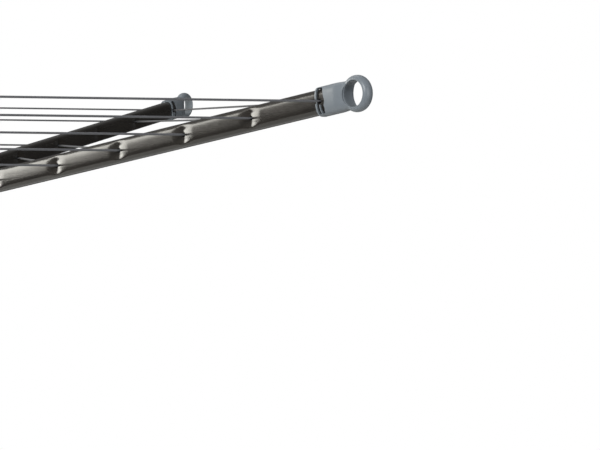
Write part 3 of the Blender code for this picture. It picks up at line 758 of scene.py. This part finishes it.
def make_knob(frame):
    """The knob that the rack is pulled down by, its stem up in the foot."""
    stem, top = 0.0040, FOOT_LOW - GAP
    profile = [
        (0, SEAT - 0.006), (stem, SEAT - 0.006), (stem, top), (0.0085, top), (0.0075, top - 0.010),
        (0.0130, top - 0.020), (0.0155, top - 0.031), (0.0125, top - 0.041), (0.0060, top - 0.045),
        (0, top - 0.045),
    ]
    stand_in(frame, "pull_knob", moved(turned_soft("knob", profile, 0.0060), 0, 0, HUB_Z))


def make_mast(frame):
    for name, (radius, low, high) in TUBES.items():
        mesh = turned_soft(name, ring_outline(radius - TUBE_WALL, radius, low, high), 0.0004, True)
        stand_in(frame, name, mesh)
    make_collar(frame, "clamp_collar_1", OUTER_TUBE, MID_TUBE, TUBES["mast_outer_tube"][1])
    make_collar(frame, "clamp_collar_2", MID_TUBE, INNER_TUBE, TUBES["mast_middle_tube"][1])
    make_foot(frame)
    make_knob(frame)


def make_hub(frame):
    """The hub with its four arm sockets grown into it, and the cap on top."""
    profile = [
        (0, HUB_LOW), (HUB_RADIUS - 0.012, HUB_LOW), (HUB_RADIUS, HUB_LOW + 0.010),
        (HUB_RADIUS, HUB_HIGH - 0.006), (HUB_RADIUS - 0.004, HUB_HIGH), (0, HUB_HIGH),
    ]
    half_y, half_z = ARM_HALF_Y + SOCKET_WALL, ARM_HALF_Z + SOCKET_WALL
    solids, pockets, pin_holes = [turned_soft("hub", profile, 0.002)], [], []
    for number in ARM_NUMBERS:
        place = Matrix.Translation((0, 0, -HUB_Z)) @ arm_matrix(number)
        socket = oval_bar("socket", half_y, half_z, SOCKET_START, SOCKET_END, edge=0.0012)
        pocket = oval_bar("pocket", ARM_HALF_Y + GAP, ARM_HALF_Z + GAP, ARM_START - GAP, SOCKET_END + 0.01)
        pin_hole = moved(rod(ARM_PIN_HOLE, CUT_REACH, 24, "Y"), ARM_PIN, 0, 0)
        for mesh, group in ((socket, solids), (pocket, pockets), (pin_hole, pin_holes)):
            mesh.transform(place)
            group.append(mesh)
    target = melted(solids, 0.0011, 6)
    pockets.append(rod(BUSH_RADIUS, 0.05, 96))
    combine(target, joined("pockets", pockets), "DIFFERENCE")
    combine(target, joined("pin_holes", pin_holes), "DIFFERENCE")
    stand_in(frame, "hub_body", moved(taken(target), 0, 0, HUB_Z))
    inside, low, high = INNER_TUBE + 2 * GAP, HUB_HIGH + GAP, HUB_HIGH + 0.009
    cap = [
        (inside, low), (HUB_RADIUS - 0.005, low), (HUB_RADIUS - 0.010, HUB_HIGH + 0.005),
        (INNER_TUBE + 0.006, high), (inside, high),
    ]
    stand_in(frame, "hub_cap", moved(turned_soft("cap", cap, 0.0012, True), 0, 0, HUB_Z))


# ---------------------------------------------------------------- camera, light and floor
CAMERA_PLACE = (0.1104, -4.1576, HUB_Z + 0.1355)
CAMERA_YAW, CAMERA_PITCH, CAMERA_ROLL = 7.557, -1.450, 0.720  # degrees
LENS = 212.4
SENSOR = 36

LIT_PLACE = (0.3, -0.4, -1.1)
LIGHTS = {  # size, watts, place, colour
    "left_panel": ((2.8, 1.75), 108, (-2.27, 1.50, -0.62), (1.0, 0.985, 0.92)),
    "key": ((1.6, 1.4), 138, (-1.7, -3.8, 0.7), (0.97, 0.99, 1.0)),
    "fill": ((1.8, 1.8), 34, (2.5, -3.1, -0.8), (1, 1, 1)),
    "top": ((2.4, 1.4), 16, (-0.3, 1.2, 1.7), (1, 1, 1)),
}
STUDIO_TONES = [(0.0, 0.05), (0.40, 0.09), (0.50, 0.14), (0.62, 0.12), (1.0, 0.35)]  # from below to above
STUDIO_LEFT, STUDIO_RIGHT = 1.7, 0.5
FLOOR_Z, FLOOR_HALF = -2.40, 2.2


def make_camera():
    yaw, pitch, roll = (math.radians(degrees) for degrees in (CAMERA_YAW, CAMERA_PITCH, CAMERA_ROLL))
    data = bpy.data.cameras.new("camera")
    data.lens = LENS
    data.sensor_width = SENSOR
    data.clip_start = 0.05
    data.clip_end = 60
    camera = bpy.data.objects.new("camera", data)
    bpy.context.scene.collection.objects.link(camera)
    camera.location = CAMERA_PLACE
    forward = Vector((math.sin(yaw) * math.cos(pitch), math.cos(yaw) * math.cos(pitch), math.sin(pitch)))
    facing = forward.to_track_quat("-Z", "Y").to_matrix()
    camera.rotation_euler = (facing @ Matrix.Rotation(roll, 3, "Z")).to_euler()
    bpy.context.scene.camera = camera


def add_light(name, size, watts, place, colour):
    """A rectangle of light that faces the part of the rack in view."""
    data = bpy.data.lights.new(name, "AREA")
    data.shape = "RECTANGLE"
    data.size, data.size_y = size
    data.energy = watts
    data.color = colour
    light = bpy.data.objects.new(name, data)
    bpy.context.scene.collection.objects.link(light)
    light.location = place
    light.rotation_euler = (Vector(LIT_PLACE) - Vector(place)).to_track_quat("-Z", "Y").to_euler()


def make_world():
    """A white backdrop to look at, and a dimmer studio that lights and is reflected."""
    world = bpy.data.worlds.new("studio")
    bpy.context.scene.world = world
    world.use_nodes = True
    tree = world.node_tree
    studio = tree.nodes["Background"]
    place = tree.nodes.new("ShaderNodeTexCoord")
    split = tree.nodes.new("ShaderNodeSeparateXYZ")
    ramp = tree.nodes.new("ShaderNodeValToRGB")
    link(tree, place.outputs["Generated"], split.inputs["Vector"])
    link(tree, mapped(tree, split.outputs["Z"], 0, 1, -1, 1), ramp.inputs["Fac"])
    elements = ramp.color_ramp.elements
    while len(elements) < len(STUDIO_TONES):
        elements.new(0.5)
    for element, (position, tone) in zip(elements, STUDIO_TONES):
        element.position = position
        element.color = (tone, tone, tone, 1)
    link(tree, ramp.outputs["Color"], studio.inputs["Color"])
    strength = mapped(tree, split.outputs["X"], STUDIO_LEFT, STUDIO_RIGHT, -1, 1)
    link(tree, strength, studio.inputs["Strength"])
    backdrop = tree.nodes.new("ShaderNodeBackground")
    backdrop.inputs["Color"].default_value = (1, 1, 1, 1)
    seen = tree.nodes.new("ShaderNodeLightPath")
    mix = tree.nodes.new("ShaderNodeMixShader")
    link(tree, seen.outputs["Is Camera Ray"], mix.inputs[0])
    link(tree, studio.outputs["Background"], mix.inputs[1])
    link(tree, backdrop.outputs["Background"], mix.inputs[2])
    link(tree, mix.outputs["Shader"], tree.nodes["World Output"].inputs["Surface"])
    bpy.context.scene.view_settings.view_transform = "Standard"


def make_floor():
    """A pale floor well below the rack, for the light that it throws back up."""

    def build(bm):
        bmesh.ops.create_grid(bm, x_segments=1, y_segments=1, size=FLOOR_HALF)

    floor = add_object("floor", mesh_of(build, "floor"))
    floor.location = (0, 0, FLOOR_Z)
    finish, _, _ = new_material("floor", (0.62, 0.62, 0.61), 0.7)
    floor.data.materials.append(finish)


def make_surroundings():
    make_world()
    for name, light in LIGHTS.items():
        add_light(name, *light)
    make_floor()


def main():
    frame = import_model()
    MATERIALS.update(make_materials())
    finish_cad_nodes(frame)
    make_arms()
    make_drying_line()
    make_hoist_cord(frame)
    make_mast(frame)
    make_hub(frame)
    soften_nodes(frame)
    make_camera()
    make_surroundings()


main()
